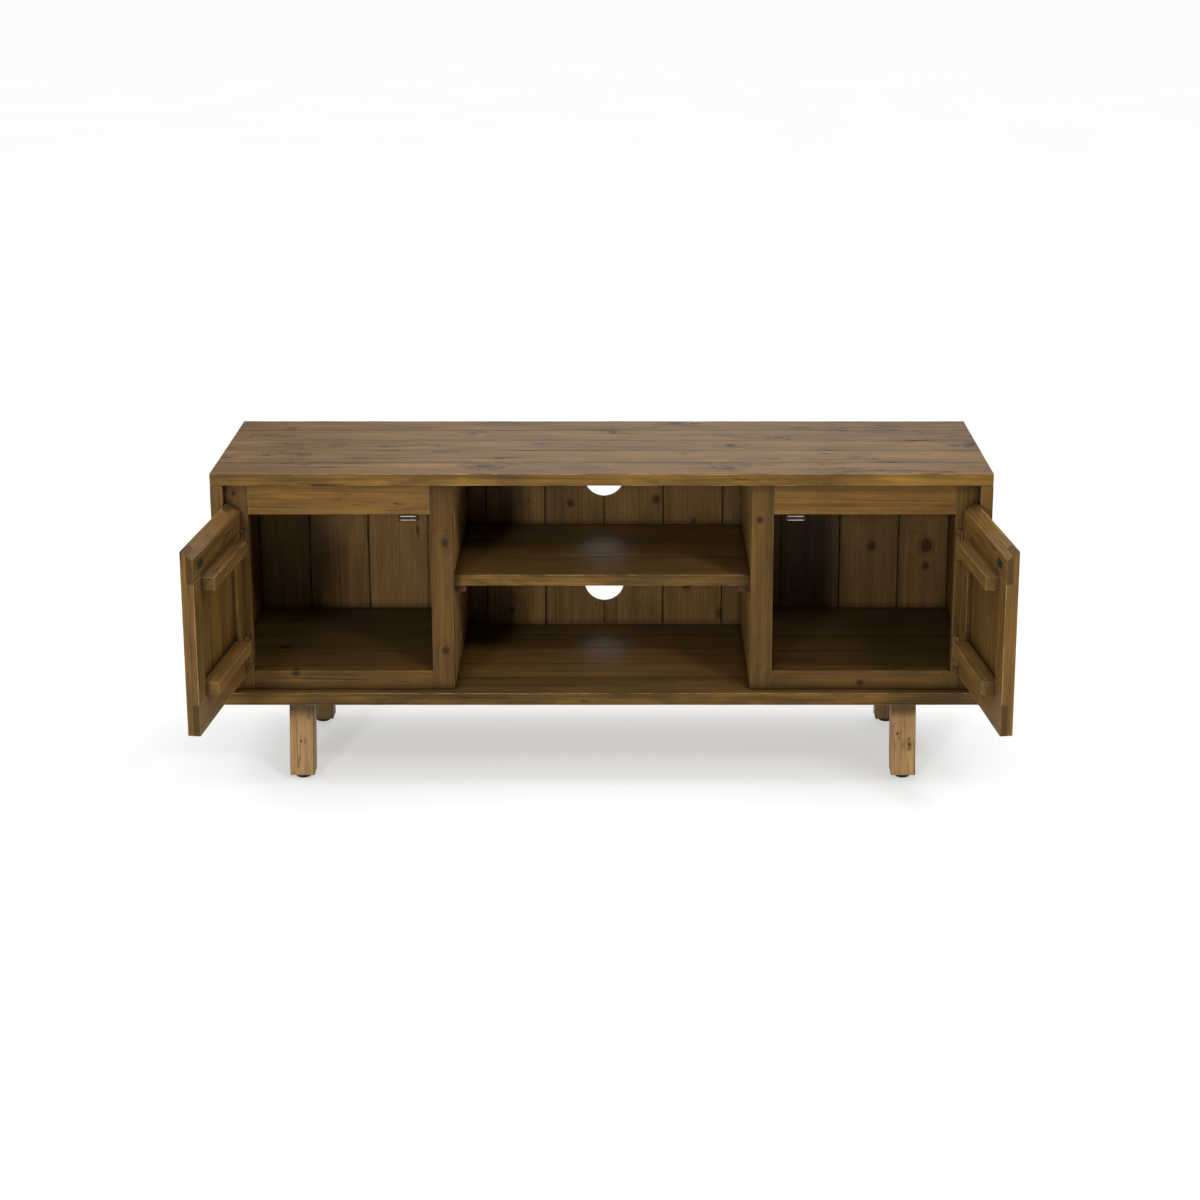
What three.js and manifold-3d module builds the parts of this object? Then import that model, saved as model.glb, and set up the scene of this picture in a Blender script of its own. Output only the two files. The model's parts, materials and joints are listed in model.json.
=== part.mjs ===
// Television stand with two cupboard doors, built as a joiner would build it:
// a board carcass, a face frame in front of each cupboard, lapped frame doors
// on butt hinges, a loose-set middle shelf on cleats, matchboard back, and two
// splayed trestles of legs. Millimetres, +Z up, the front faces -Y.
import * as THREE from 'three';
import { mergeVertices } from 'three/addons/utils/BufferGeometryUtils.js';
import Module from 'manifold-3d';

const wasm = await Module();
wasm.setup();

// ---- driving dimensions -------------------------------------------------
const G = 0.3;               // joint gap kept between touching pieces
const WIDTH = 1450;          // over the side boards
const DEPTH = 460;           // front edge of the boards to their back edge
const HEIGHT = 615;          // floor to the top surface
const LEG_H = 165;           // floor to the underside of the base board
const TOP_T = 23;            // top board
const BASE_T = 24;           // base board
const SIDE_T = 23;           // side boards
const ARRIS = 1.2;           // eased edge on the boards
const TOP_SEAMS = [94, 197, 286, 374];   // plank joints in the top, from the front

const FRAME_Y = 24.5;        // face frame, set back from the front edges
const FRAME_T = 21.5;
const OPEN_IN = 321;         // cupboard opening, inner edge from the middle
const OPEN_OUT = 660;        // cupboard opening, outer edge from the middle
const OPEN_BOT = 226;        // cupboard opening, bottom
const OPEN_TOP = 531.5;      // cupboard opening, top
const BAY_HALF = 279.5;      // half of the middle bay
const DIVIDER_T = 22.5;
const HOUSING = 6;           // housing that takes the cupboard floors
const FLOOR_T = 18;

const BACK_Y = 452;          // front face of the back boards
const BACK_T = 7.5;
const BACK_PITCH = 120;      // width of one back board
const BACK_SPLIT = 360;      // outer back sections start here
const CABLE_R = 40;
const CABLE_Z = [280.5, 501];

const SHELF_Z = 403;         // top of the shelf
const SHELF_T = 22;
const SHELF_Y = 66;
const CLEAT_W = 20;
const CLEAT_H = 13;
const CLEAT_Y = 73;

const PIN_X = 673;           // door hinge pins from the middle
const PIN_Y = 23.65;
const DOOR_EDGE = 3.5;       // hinge edge of the door from the pin
const DOOR_W = 357;
const DOOR_T = 22.8;
const DOOR_BOT = 219;
const DOOR_TOP = 556;
const DOOR_BEVEL = 15.7;     // finger bevel: inside of the top edge is lower
const STILE_W = 52;
const RAIL_TOP_H = 59;
const RAIL_BOT_H = 58;
const PANEL_Y0 = 4.8;        // door boards, in grooves of the door frame
const PANEL_Y1 = 14.8;
const PANEL_TONGUE = 8;
const PANEL_BOARDS = 3;
const BATTEN_H = 26;
const BATTEN_PROUD = 25;
const DOOR_OPEN_DEG = 95;    // the doors stand open in this pose

const HINGE_L = 60;
const HINGE_Z = [265, 473];  // middles of the hinges
const LEAF_T = 1.2;
const LEAF_W = 12.4;         // narrow leaves: the stile shows 13 mm beside the pin
const BARREL_R = 2.6;
const HINGE_PIN_R = 1.2;

const LEG_X = 578.5;         // middle of each leg from the middle of the stand
const LEG_W = 47;
const LEG_D = 44;            // level section, front to back
const LEG_FOOT_FRONT = 43;   // front edge of the front feet
const LEG_FOOT_BACK = 379;   // front edge of the back feet
const LEG_SPLAY = 10;        // degrees
const GLIDE_R = 15;
const GLIDE_H = 7.7;
const TRESTLE_H = 40;
const TRESTLE_T = 23;

// ---- levels that follow ---------------------------------------------------
const BASE_TOP = LEG_H + BASE_T;
const TOP_UNDER = HEIGHT - TOP_T;
const SIDE_IN = WIDTH / 2 - SIDE_T;

// ---- helpers ---------------------------------------------------------------
function toManifold(geometry) {
  let g = geometry.index ? geometry.toNonIndexed() : geometry.clone();
  g.deleteAttribute('normal');
  g.deleteAttribute('uv');
  g = mergeVertices(g, 1e-4);
  return new wasm.Manifold(new wasm.Mesh({
    numProp: 3,
    vertProperties: new Float32Array(g.attributes.position.array),
    triVerts: new Uint32Array(g.index.array),
  }));
}

function toGeometry(solid) {
  const m = solid.getMesh();
  const g = new THREE.BufferGeometry();
  g.setAttribute('position', new THREE.BufferAttribute(new Float32Array(m.vertProperties), 3));
  g.setIndex(new THREE.BufferAttribute(new Uint32Array(m.triVerts), 1));
  const flat = g.toNonIndexed();
  flat.computeVertexNormals();
  return flat;
}

const cut = (geometry, ...tools) => {
  let s = toManifold(geometry);
  for (const t of tools) s = s.subtract(toManifold(t));
  return toGeometry(s);
};

const join = (...pieces) => {
  let s = toManifold(pieces[0]);
  for (const p of pieces.slice(1)) s = s.add(toManifold(p));
  return toGeometry(s);
};

// plain box from its low and high corners
function box(x0, x1, y0, y1, z0, z1) {
  const g = new THREE.BoxGeometry(x1 - x0, y1 - y0, z1 - z0);
  g.translate((x0 + x1) / 2, (y0 + y1) / 2, (z0 + z1) / 2);
  return g;
}

// board with all its edges eased by c
function board(x0, x1, y0, y1, z0, z1, c = ARRIS) {
  const w = x1 - x0, d = y1 - y0, h = z1 - z0;
  const s = new THREE.Shape();
  const a = w / 2 - c, b = d / 2 - c;
  // the eased outline is drawn one c inside, the bevel brings it back out
  s.moveTo(-a, -b); s.lineTo(a, -b); s.lineTo(a, b); s.lineTo(-a, b); s.closePath();
  const g = new THREE.ExtrudeGeometry(s, {
    depth: h - 2 * c, bevelEnabled: true, bevelSegments: 1, bevelSize: c, bevelThickness: c,
  });
  g.translate((x0 + x1) / 2, (y0 + y1) / 2, z0 + c);
  return g;
}

// outline in Y and Z, run along X
function alongX(points, x0, x1) {
  const s = new THREE.Shape(points.map(([y, z]) => new THREE.Vector2(y, z)));
  const g = new THREE.ExtrudeGeometry(s, { depth: x1 - x0, bevelEnabled: false });
  // shape x -> Y, shape y -> Z, extrusion -> X
  g.applyMatrix4(new THREE.Matrix4().set(
    0, 0, 1, x0,
    1, 0, 0, 0,
    0, 1, 0, 0,
    0, 0, 0, 1));
  return g;
}

// outline in X and Y, run along Z
function alongZ(points, z0, z1) {
  const s = new THREE.Shape(points.map(([x, y]) => new THREE.Vector2(x, y)));
  const g = new THREE.ExtrudeGeometry(s, { depth: z1 - z0, bevelEnabled: false });
  g.translate(0, 0, z0);
  return g;
}

function cylinderZ(r, x, y, z0, z1, n = 24) {
  const g = new THREE.CylinderGeometry(r, r, z1 - z0, n);
  g.rotateX(Math.PI / 2);
  g.translate(x, y, (z0 + z1) / 2);
  return g;
}

function cylinderY(r, x, z, y0, y1, n = 48) {
  const g = new THREE.CylinderGeometry(r, r, y1 - y0, n);
  g.translate(x, (y0 + y1) / 2, z);
  return g;
}

// the same piece for the other hand
function hand(geometry, side) {
  if (side < 0) return geometry;
  const g = geometry.index ? geometry.toNonIndexed() : geometry.clone();
  g.deleteAttribute('uv');
  const p = g.attributes.position;
  for (let i = 0; i < p.count; i++) p.setX(i, -p.getX(i));
  for (let i = 0; i < p.count; i += 3) {
    const x = p.getX(i), y = p.getY(i), z = p.getZ(i);
    p.setXYZ(i, p.getX(i + 1), p.getY(i + 1), p.getZ(i + 1));
    p.setXYZ(i + 1, x, y, z);
  }
  g.computeVertexNormals();
  return g;
}

// ---- finishes ----------------------------------------------------------------
const finish = (color, roughness, metalness = 0) =>
  new THREE.MeshStandardMaterial({ color: new THREE.Color(color), roughness, metalness });
const topWood = finish('#7d6a58', 0.62);
const bodyWood = finish('#77582f', 0.6);
const innerWood = finish('#6b4d2c', 0.66);
const doorWood = finish('#74562f', 0.6);
const legWood = finish('#9c7c53', 0.64);
const brass = finish('#4a3b26', 0.45, 1);
const steel = finish('#b9b6ae', 0.3, 1);
const catchBrown = finish('#2c2019', 0.5);
const glideBlack = finish('#141414', 0.55);

const stand = new THREE.Group();
const assembly = new THREE.Group();
stand.add(assembly);

function add(parent, name, geometry, material) {
  const mesh = new THREE.Mesh(geometry, material);
  mesh.name = name;
  parent.add(mesh);
  return mesh;
}

// ---- carcass --------------------------------------------------------------------
{
  // top: planks glued edge to edge, with a fine V at each joint
  const z0 = TOP_UNDER, z1 = HEIGHT, c = ARRIS;
  const outline = [[c, z0], [DEPTH - c, z0], [DEPTH, z0 + c], [DEPTH, z1 - c], [DEPTH - c, z1]];
  for (const y of [...TOP_SEAMS].reverse()) outline.push([y + 1.0, z1], [y, z1 - 1.1], [y - 1.0, z1]);
  outline.push([c, z1], [0, z1 - c], [0, z0 + c]);
  add(assembly, 'top_board', alongX(outline, -WIDTH / 2, WIDTH / 2), topWood);
}
add(assembly, 'base_board', board(-WIDTH / 2, WIDTH / 2, 0, DEPTH, LEG_H, BASE_TOP), bodyWood);

for (const side of [-1, 1]) {
  const tag = side < 0 ? 'left' : 'right';
  // left-hand pieces have negative x and are mirrored for the right
  const sidePanel = cut(
    board(-WIDTH / 2, -SIDE_IN, 0, DEPTH, BASE_TOP + G, TOP_UNDER - G),
    box(-SIDE_IN - HOUSING, -SIDE_IN + 5, FRAME_Y + FRAME_T, DEPTH + 5, OPEN_BOT - FLOOR_T - G, OPEN_BOT + G));
  add(assembly, `side_panel_${tag}`, hand(sidePanel, side), bodyWood);

  const divider = cut(
    box(-BAY_HALF - DIVIDER_T, -BAY_HALF, FRAME_Y + FRAME_T + G, BACK_Y - G, BASE_TOP + G, TOP_UNDER - G),
    box(-BAY_HALF - DIVIDER_T - 5, -BAY_HALF - DIVIDER_T + HOUSING, 0, DEPTH, OPEN_BOT - FLOOR_T - G, OPEN_BOT + G));
  add(assembly, `divider_${tag}`, hand(divider, side), innerWood);

  const f0 = FRAME_Y, f1 = FRAME_Y + FRAME_T;
  // face frame; the hinge stile is let in for the hinge leaves
  const lets = HINGE_Z.flatMap((z) => [
    box(-PIN_X - 0.4, -OPEN_OUT + 3, f0 - 5, PIN_Y + 0.2 + LEAF_T + G, z - HINGE_L / 2 - 0.5, z + HINGE_L / 2 + 0.5),
    cylinderZ(BARREL_R + 0.6, -PIN_X, PIN_Y, z - HINGE_L / 2 - 1.5, z + HINGE_L / 2 + 1.5, 20),
  ]);
  add(assembly, `frame_stile_${tag}`, hand(cut(
    board(-SIDE_IN + G, -OPEN_OUT, f0, f1, BASE_TOP + G, TOP_UNDER - G, 0.8), ...lets), side), bodyWood);
  add(assembly, `frame_post_${tag}`, hand(
    board(-OPEN_IN, -BAY_HALF, f0, f1, BASE_TOP + G, TOP_UNDER - G, 0.8), side), bodyWood);
  add(assembly, `frame_rail_top_${tag}`, hand(
    board(-OPEN_OUT + G, -OPEN_IN - G, f0, f1, OPEN_TOP, TOP_UNDER - G, 0.8), side), bodyWood);
  add(assembly, `frame_rail_bottom_${tag}`, hand(
    board(-OPEN_OUT + G, -OPEN_IN - G, f0, f1, BASE_TOP + G, OPEN_BOT, 0.8), side), bodyWood);

  add(assembly, `cupboard_floor_${tag}`, hand(box(
    -SIDE_IN - HOUSING + G, -BAY_HALF - DIVIDER_T + HOUSING - G, f1 + G, BACK_Y - G,
    OPEN_BOT - FLOOR_T, OPEN_BOT), side), innerWood);

  add(assembly, `shelf_cleat_${tag}`, hand(board(
    -BAY_HALF + G, -BAY_HALF + G + CLEAT_W, CLEAT_Y, BACK_Y - 10,
    SHELF_Z - SHELF_T - G - CLEAT_H, SHELF_Z - SHELF_T - G, 0.8), side), innerWood);

  // magnetic catch under the top rail: a body with two pole plates
  const cx0 = -380, cx1 = -343, cz1 = OPEN_TOP - G;
  add(assembly, `catch_${tag}`, hand(join(
    board(cx0, cx1, FRAME_Y + 1.2, FRAME_Y + 19, cz1 - 13, cz1, 0.8),
    box(cx0 + 4, cx1 - 4, FRAME_Y, FRAME_Y + 10, cz1 - 4.2, cz1 - 2.6),
    box(cx0 + 4, cx1 - 4, FRAME_Y, FRAME_Y + 10, cz1 - 11.4, cz1 - 9.8)), side), catchBrown);
}

{
  // shelf: three planks
  const z0 = SHELF_Z - SHELF_T, z1 = SHELF_Z, y1 = BACK_Y - G, c = ARRIS;
  const outline = [[SHELF_Y + c, z0], [y1, z0], [y1, z1]];
  for (const y of [322, 196]) outline.push([y + 0.8, z1], [y, z1 - 0.9], [y - 0.8, z1]);
  outline.push([SHELF_Y + c, z1], [SHELF_Y, z1 - c], [SHELF_Y, z0 + c]);
  add(assembly, 'shelf', alongX(outline, -BAY_HALF + G, BAY_HALF - G), innerWood);
}

// back: matchboards with a V at each joint, in four sections, and the two
// cable holes centred on the middle joint
{
  const z0 = BASE_TOP + G, z1 = TOP_UNDER - G, y0 = BACK_Y, y1 = BACK_Y + BACK_T;
  const section = (xa, xb) => {
    const pts = [[xb, y1], [xa, y1]];
    const v = 1.6;
    pts.push([xa, y0 + v], [xa + v, y0]);
    for (let x = Math.ceil((xa + 10) / BACK_PITCH) * BACK_PITCH; x < xb - 10; x += BACK_PITCH)
      pts.push([x - v, y0], [x, y0 + v], [x + v, y0]);
    pts.push([xb - v, y0], [xb, y0 + v]);
    return alongZ(pts, z0, z1);
  };
  const holes = CABLE_Z.map((z) => cylinderY(CABLE_R, 0, z, y0 - 5, y1 + 5));
  const e = SIDE_IN - G;
  add(assembly, 'back_boards_left', section(-e, -BACK_SPLIT - G / 2), innerWood);
  add(assembly, 'back_boards_mid_left', cut(section(-BACK_SPLIT + G / 2, -G / 2), ...holes), innerWood);
  add(assembly, 'back_boards_mid_right', cut(section(G / 2, BACK_SPLIT - G / 2), ...holes), innerWood);
  add(assembly, 'back_boards_right', section(BACK_SPLIT + G / 2, e), innerWood);
}

// ---- legs -----------------------------------------------------------------------
const lean = Math.tan(THREE.MathUtils.degToRad(LEG_SPLAY));
const legTop = LEG_H - G, legFoot = GLIDE_H + G, run = (legTop - legFoot) * lean;
function leg(y0, dir, side) {
  // outline in Y and Z drawn 2 mm inside; the bevel brings it back out
  const c = 2, t = dir * run;
  const s = new THREE.Shape([
    [y0 + c, legFoot + c], [y0 + LEG_D - c, legFoot + c],
    [y0 + LEG_D - c + t, legTop - c], [y0 + c + t, legTop - c],
  ].map(([y, z]) => new THREE.Vector2(y, z)));
  const g = new THREE.ExtrudeGeometry(s, {
    depth: LEG_W - 2 * c, bevelEnabled: true, bevelSegments: 2, bevelSize: c, bevelThickness: c,
  });
  g.applyMatrix4(new THREE.Matrix4().set(
    0, 0, 1, side * LEG_X - LEG_W / 2 + c,
    1, 0, 0, 0,
    0, 1, 0, 0,
    0, 0, 0, 1));
  return g;
}
function glide(y, side) {
  const g = new THREE.LatheGeometry([
    [0, 0], [GLIDE_R - 3.5, 0], [GLIDE_R - 1, 1.4], [GLIDE_R, 4], [GLIDE_R, GLIDE_H], [0, GLIDE_H],
  ].map(([r, z]) => new THREE.Vector2(r, z)), 32);
  g.rotateX(Math.PI / 2);
  g.translate(side * LEG_X, y, 0);
  return g;
}
for (const side of [-1, 1]) {
  const tag = side < 0 ? 'left' : 'right';
  add(assembly, `leg_front_${tag}`, leg(LEG_FOOT_FRONT, 1, side), legWood);
  add(assembly, `leg_back_${tag}`, leg(LEG_FOOT_BACK, -1, side), legWood);
  add(assembly, `glide_front_${tag}`, glide(LEG_FOOT_FRONT + LEG_D / 2, side), glideBlack);
  add(assembly, `glide_back_${tag}`, glide(LEG_FOOT_BACK + LEG_D / 2, side), glideBlack);
  const z0 = LEG_H - G - TRESTLE_H, z1 = LEG_H - G;
  const a = (z) => LEG_FOOT_FRONT + LEG_D + (z - legFoot) * lean + G;
  const b = (z) => LEG_FOOT_BACK - (z - legFoot) * lean - G;
  add(assembly, `leg_rail_${tag}`, alongX(
    [[a(z0), z0], [b(z0), z0], [b(z1), z1], [a(z1), z1]],
    side * LEG_X - TRESTLE_T / 2, side * LEG_X + TRESTLE_T / 2), legWood);
}

// ---- doors -----------------------------------------------------------------------
// Drawn shut as the left door, with the pin at x = 0, y = 0 of the door's group;
// u runs from the hinge edge to the free edge.
const py = (y) => y - PIN_Y;
const U0 = DOOR_EDGE, U1 = DOOR_EDGE + DOOR_W;
const bevelZ = (y) => DOOR_TOP - DOOR_BEVEL * y / DOOR_T;
const half = DOOR_T / 2;
const railTop0 = DOOR_TOP - RAIL_TOP_H, railBot1 = DOOR_BOT + RAIL_BOT_H;

function panelPocket() {
  return box(U0 + STILE_W - PANEL_TONGUE - G, U1 - STILE_W + PANEL_TONGUE + G,
    py(PANEL_Y0 - G), py(PANEL_Y1 + G),
    railBot1 - PANEL_TONGUE - G, railTop0 + PANEL_TONGUE + G);
}

function doorStile(u0, u1, edgeU) {
  // full height in the front half, between the rails in the back half,
  // with the outer upright edge eased
  const pts = [
    [py(0), DOOR_BOT], [py(half - G / 2), DOOR_BOT], [py(half - G / 2), railBot1 + G],
    [py(DOOR_T), railBot1 + G], [py(DOOR_T), railTop0 - G], [py(half - G / 2), railTop0 - G],
    [py(half - G / 2), bevelZ(half - G / 2)], [py(0), DOOR_TOP],
  ];
  const ease = alongZ(
    edgeU === u0
      ? [[u0 - 1, py(-1)], [u0 + 2.5, py(-1)], [u0 - 1, py(2.5)]]
      : [[u1 + 1, py(-1)], [u1 + 1, py(1.5)], [u1 - 1.5, py(-1)]],
    DOOR_BOT - 5, DOOR_TOP + 5);
  return { body: alongX(pts, u0, u1), ease };
}

function doorRail(z0, z1, bevelled) {
  // full width in the back half, between the stiles in the front half
  const pts = [
    [U0, py(half + G / 2)], [U0 + STILE_W + G, py(half + G / 2)], [U0 + STILE_W + G, py(0)],
    [U1 - STILE_W - G, py(0)], [U1 - STILE_W - G, py(half + G / 2)], [U1, py(half + G / 2)],
    [U1, py(DOOR_T)], [U0, py(DOOR_T)],
  ];
  const body = alongZ(pts, z0, z1);
  const tools = [panelPocket()];
  if (bevelled) tools.push(alongX(
    [[py(-5), bevelZ(-5)], [py(DOOR_T + 5), bevelZ(DOOR_T + 5)], [py(DOOR_T + 5), DOOR_TOP + 30], [py(-5), DOOR_TOP + 30]],
    U0 - 5, U1 + 5));
  return { body, tools };
}

// matchboards of the door: V joints on both faces
function doorBoards() {
  const a = U0 + STILE_W - PANEL_TONGUE, b = U1 - STILE_W + PANEL_TONGUE;
  const clear0 = U0 + STILE_W, pitch = (DOOR_W - 2 * STILE_W) / PANEL_BOARDS, v = 2;
  const y0 = py(PANEL_Y0), y1 = py(PANEL_Y1);
  const pts = [[a, y0]];
  for (let i = 1; i < PANEL_BOARDS; i++) {
    const x = clear0 + i * pitch;
    pts.push([x - v, y0], [x, y0 + v], [x + v, y0]);
  }
  pts.push([b, y0], [b, y1]);
  for (let i = PANEL_BOARDS - 1; i >= 1; i--) {
    const x = clear0 + i * pitch;
    pts.push([x + v, y1], [x, y1 - v], [x - v, y1]);
  }
  pts.push([a, y1]);
  return alongZ(pts, railBot1 - PANEL_TONGUE, railTop0 + PANEL_TONGUE);
}

// butt hinge, five knuckles: three belong to the frame leaf, two to the door leaf
function hingeLeaf(zc, door) {
  const n = 5, seg = HINGE_L / n, z0 = zc - HINGE_L / 2;
  const y0 = door ? -0.2 - LEAF_T : 0.2, y1 = y0 + LEAF_T;
  const clear = BARREL_R + 0.5;
  let parts = [box(clear, LEAF_W, y0, y1, z0, z0 + HINGE_L)];
  for (let i = 0; i < n; i++) {
    if ((i % 2 === 1) !== door) continue;
    const a = z0 + i * seg + 0.2, b = z0 + (i + 1) * seg - 0.2;
    parts.push(cylinderZ(BARREL_R, 0, 0, a, b, 24));
    parts.push(box(0, clear + 0.5, y0, y1, a, b));
  }
  if (door) {
    parts.push(cylinderZ(HINGE_PIN_R, 0, 0, z0 - 0.6, z0 + HINGE_L + 0.6, 16));
    return join(...parts);
  }
  return cut(join(...parts), cylinderZ(HINGE_PIN_R + 0.25, 0, 0, z0 - 5, z0 + HINGE_L + 5, 16));
}

for (const side of [-1, 1]) {
  const tag = side < 0 ? 'left' : 'right';
  HINGE_Z.forEach((z, i) => {
    const leaf = hingeLeaf(z, false);
    leaf.translate(-PIN_X, PIN_Y, 0);
    add(assembly, `hinge_${i ? 'upper' : 'lower'}_${tag}_frame_leaf`, hand(leaf, side), brass);
  });

  const door = new THREE.Group();
  door.position.set(side * PIN_X, PIN_Y, 0);
  door.rotation.z = side * THREE.MathUtils.degToRad(DOOR_OPEN_DEG);
  assembly.add(door);

  const lets = HINGE_Z.flatMap((z) => [
    box(0, LEAF_W + 0.5, -0.2 - LEAF_T - G, 5, z - HINGE_L / 2 - 0.5, z + HINGE_L / 2 + 0.5),
    cylinderZ(BARREL_R + 0.6, 0, 0, z - HINGE_L / 2 - 1.5, z + HINGE_L / 2 + 1.5, 20),
  ]);
  const hs = doorStile(U0, U0 + STILE_W, U0);
  const fs = doorStile(U1 - STILE_W, U1, U1);
  add(door, `door_${tag}_hinge_stile`, hand(cut(hs.body, panelPocket(), hs.ease, ...lets), side), doorWood);
  add(door, `door_${tag}_free_stile`, hand(cut(fs.body, panelPocket(), fs.ease), side), doorWood);
  const rt = doorRail(railTop0, DOOR_TOP + 1, true), rb = doorRail(DOOR_BOT, railBot1, false);
  add(door, `door_${tag}_rail_top`, hand(cut(rt.body, ...rt.tools, ...lets), side), doorWood);
  add(door, `door_${tag}_rail_bottom`, hand(cut(rb.body, ...rb.tools, ...lets), side), doorWood);
  add(door, `door_${tag}_boards`, hand(doorBoards(), side), doorWood);

  const ba = U0 + STILE_W + 0.5, bb = U1 - STILE_W - 0.5;
  const by0 = py(PANEL_Y1 + G), by1 = py(DOOR_T + BATTEN_PROUD);
  add(door, `door_${tag}_batten_upper`, hand(
    board(ba, bb, by0, by1, railTop0 - G - BATTEN_H, railTop0 - G, 2), side), doorWood);
  add(door, `door_${tag}_batten_lower`, hand(
    board(ba, bb, by0, by1, railBot1 + G, railBot1 + G + BATTEN_H, 2), side), doorWood);

  const sx0 = PIN_X - 380.5, sx1 = PIN_X - 342.5;
  add(door, `door_${tag}_strike_plate`, hand(
    box(sx0, sx1, py(DOOR_T + G), py(DOOR_T + G) + 1.0, OPEN_TOP - 16, OPEN_TOP - 2), side), steel);

  HINGE_Z.forEach((z, i) => {
    add(door, `hinge_${i ? 'upper' : 'lower'}_${tag}_door_leaf`, hand(hingeLeaf(z, true), side), brass);
  });
}

// ---- place: origin under the middle of the whole outline, on the floor --------------
stand.updateMatrixWorld(true);
{
  const b = new THREE.Box3().setFromObject(stand, true);
  assembly.position.set(-(b.min.x + b.max.x) / 2, -(b.min.y + b.max.y) / 2, -b.min.z);
  stand.updateMatrixWorld(true);
}

export default stand;
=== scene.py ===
import json
import math
import random

import bmesh
import bpy
from mathutils import Matrix, Vector, noise


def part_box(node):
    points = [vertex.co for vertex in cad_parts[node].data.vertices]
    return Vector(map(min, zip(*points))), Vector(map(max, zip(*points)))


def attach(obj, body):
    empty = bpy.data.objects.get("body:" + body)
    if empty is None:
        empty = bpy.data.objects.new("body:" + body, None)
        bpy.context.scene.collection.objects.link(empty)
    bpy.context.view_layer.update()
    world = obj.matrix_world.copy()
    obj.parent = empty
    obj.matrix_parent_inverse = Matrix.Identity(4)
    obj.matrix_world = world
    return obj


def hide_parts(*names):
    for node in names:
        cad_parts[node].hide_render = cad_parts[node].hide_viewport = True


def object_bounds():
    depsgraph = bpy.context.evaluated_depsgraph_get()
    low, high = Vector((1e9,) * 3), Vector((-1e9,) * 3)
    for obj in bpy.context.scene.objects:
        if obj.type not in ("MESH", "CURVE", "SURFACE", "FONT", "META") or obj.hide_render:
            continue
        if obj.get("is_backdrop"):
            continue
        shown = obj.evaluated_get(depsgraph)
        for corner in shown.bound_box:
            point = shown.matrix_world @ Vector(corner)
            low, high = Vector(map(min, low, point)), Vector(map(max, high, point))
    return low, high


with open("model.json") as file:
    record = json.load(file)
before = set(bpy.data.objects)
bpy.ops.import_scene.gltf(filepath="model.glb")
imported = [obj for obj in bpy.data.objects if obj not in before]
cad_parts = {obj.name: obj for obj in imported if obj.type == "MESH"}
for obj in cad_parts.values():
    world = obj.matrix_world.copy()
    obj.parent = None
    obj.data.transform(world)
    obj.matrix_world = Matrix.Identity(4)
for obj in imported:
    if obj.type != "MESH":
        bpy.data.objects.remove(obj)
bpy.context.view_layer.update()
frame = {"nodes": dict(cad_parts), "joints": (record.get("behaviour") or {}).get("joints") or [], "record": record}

scene = bpy.context.scene
NODES = frame["nodes"]
JOINTS = {j["child"]: j for j in frame["joints"]}
BODIES = frame["record"]["behaviour"]["bodies"]
BODY = {n: b for b, ns in BODIES.items() for n in ns}
MM = 0.001


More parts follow.
